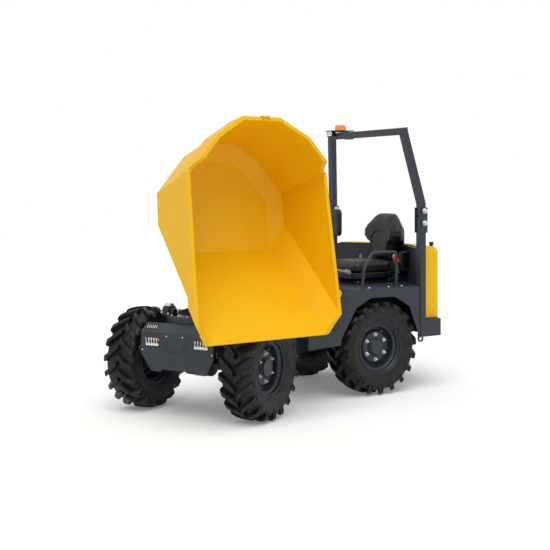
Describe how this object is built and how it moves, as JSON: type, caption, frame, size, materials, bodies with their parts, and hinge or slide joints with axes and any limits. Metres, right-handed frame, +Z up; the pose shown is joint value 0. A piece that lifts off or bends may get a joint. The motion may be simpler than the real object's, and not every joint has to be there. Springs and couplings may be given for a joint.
{
  "type": "site dumper",
  "caption": "Articulated site dumper with a swivelling front-tip skip, a folding roll bar and lugged tyres, shown steered and tipped to the side.",
  "frame": {"origin": "centre of the machine's box, on the ground", "axes": "+X forward of the rear frame, +Y to its left, +Z up"},
  "size_m": [3.0912, 1.927, 2.2598],
  "materials": {
    "amber": "clear amber lens",
    "anthracite": "satin powder coat",
    "black_plastic": "textured",
    "cast": "painted casting",
    "lens": "clear lens",
    "steel": "bright hydraulic rod and plated bolts",
    "tyre": "matt black moulded rubber",
    "vinyl": "black vinyl",
    "yellow": "gloss paint"
  },
  "bodies": {
    "rear_frame": {"rear_chassis": "anthracite", "rear_yoke": "anthracite", "rear_axle": "cast", "side_panel_left": "anthracite", "side_panel_right": "anthracite", "riser": "anthracite", "floor_plate": "anthracite", "seat_box": "anthracite", "bulkhead": "anthracite", "engine": "cast", "bumper": "anthracite", "seat_base": "black_plastic", "seat_cushion": "vinyl", "seat_backrest": "vinyl", "handrail_left": "anthracite", "handrail_right": "anthracite", "rops_post_left": "anthracite", "rops_post_right": "anthracite", "mirror_panel": "black_plastic", "steering_console": "black_plastic", "steering_wheel": "black_plastic"},
    "front_frame": {"front_axle": "cast", "front_frame": "anthracite", "front_panel": "anthracite", "headlamps": "lens", "turntable_ring": "cast"},
    "turret": {"turret": "anthracite", "swivel_motor": "anthracite"},
    "skip": {"skip": "yellow"},
    "hood": {"hood": "yellow"},
    "rops": {"rops_hoop": "anthracite", "beacon": "amber", "work_lamp": "black_plastic"},
    "steer_barrel": {"steer_barrel": "anthracite"},
    "steer_rod": {"steer_rod": "steel"},
    "tip_barrel": {"tip_barrel": "anthracite"},
    "tip_rod": {"tip_rod": "steel"},
    "wheel_rear_left": {"rim_rear_left": "anthracite", "tyre_rear_left": "tyre"},
    "wheel_rear_right": {"rim_rear_right": "anthracite", "tyre_rear_right": "tyre"},
    "wheel_front_left": {"rim_front_left": "anthracite", "tyre_front_left": "tyre"},
    "wheel_front_right": {"rim_front_right": "anthracite", "tyre_front_right": "tyre"}
  },
  "joints": [
    {"name": "articulation", "type": "hinge", "parent": "rear_frame", "child": "front_frame", "pos_m": [0.13039, -0.2855, 0.44976], "axis": [0, 0, 1], "range_deg": [-61, 5]},
    {"name": "swivel", "type": "hinge", "parent": "front_frame", "child": "turret", "pos_m": [0.82792, 0.08538, 0.73006], "axis": [0, 0, 1], "range_deg": [-154, 26]},
    {"name": "tip", "type": "hinge", "parent": "turret", "child": "skip", "pos_m": [0.81745, 0.3852, 0.94976], "axis": [-0.9994, -0.0349, 0], "range_deg": [-78, 2]},
    {"name": "rops_fold", "type": "hinge", "parent": "rear_frame", "child": "rops", "pos_m": [-1.08061, -0.2855, 1.51276], "axis": [0, -1, 0], "range_deg": [0, 100]},
    {"name": "hood_lid", "type": "hinge", "parent": "rear_frame", "child": "hood", "pos_m": [-1.52361, -0.2855, 0.61376], "axis": [0, -1, 0], "range_deg": [0, 50]},
    {"name": "steer_barrel_swing", "type": "hinge", "parent": "rear_frame", "child": "steer_barrel", "pos_m": [-0.19961, -0.5505, 0.44976], "axis": [0, 0, 1], "range_deg": [-28.63, 2.36]},
    {"name": "steer_rod_slide", "type": "slide", "parent": "steer_barrel", "child": "steer_rod", "axis": [0.9636, 0.2672, 0], "range_m": [-0.25258, 0.02071]},
    {"name": "tip_barrel_swing", "type": "hinge", "parent": "turret", "child": "tip_barrel", "pos_m": [0.82513, 0.16533, 0.61976], "axis": [-0.9994, -0.0349, 0], "range_deg": [-7.43, 0.2]},
    {"name": "tip_rod_slide", "type": "slide", "parent": "tip_barrel", "child": "tip_rod", "axis": [-0.0147, 0.4219, 0.9065], "range_m": [-0.11582, 0.00298]},
    {"name": "wheel_rear_left_spin", "type": "hinge", "parent": "rear_frame", "child": "wheel_rear_left", "pos_m": [-0.64961, 0.2245, 0.38976], "axis": [0, 1, 0], "continuous": true},
    {"name": "wheel_rear_right_spin", "type": "hinge", "parent": "rear_frame", "child": "wheel_rear_right", "pos_m": [-0.64961, -0.7955, 0.38976], "axis": [0, 1, 0], "continuous": true},
    {"name": "wheel_front_left_spin", "type": "hinge", "parent": "front_frame", "child": "wheel_front_left", "pos_m": [0.67679, 0.58263, 0.38976], "axis": [-0.4695, 0.8829, 0], "continuous": true},
    {"name": "wheel_front_right_spin", "type": "hinge", "parent": "front_frame", "child": "wheel_front_right", "pos_m": [1.15565, -0.31797, 0.38976], "axis": [-0.4695, 0.8829, 0], "continuous": true}
  ],
  "couplings": [
    {"joint": "steer_barrel_swing", "follows": "articulation", "ratio": 0.4692},
    {"joint": "steer_rod_slide", "follows": "articulation", "m_per_rad": 0.23724},
    {"joint": "tip_barrel_swing", "follows": "tip", "ratio": 0.095152},
    {"joint": "tip_rod_slide", "follows": "tip", "m_per_rad": 0.085072}
  ]
}
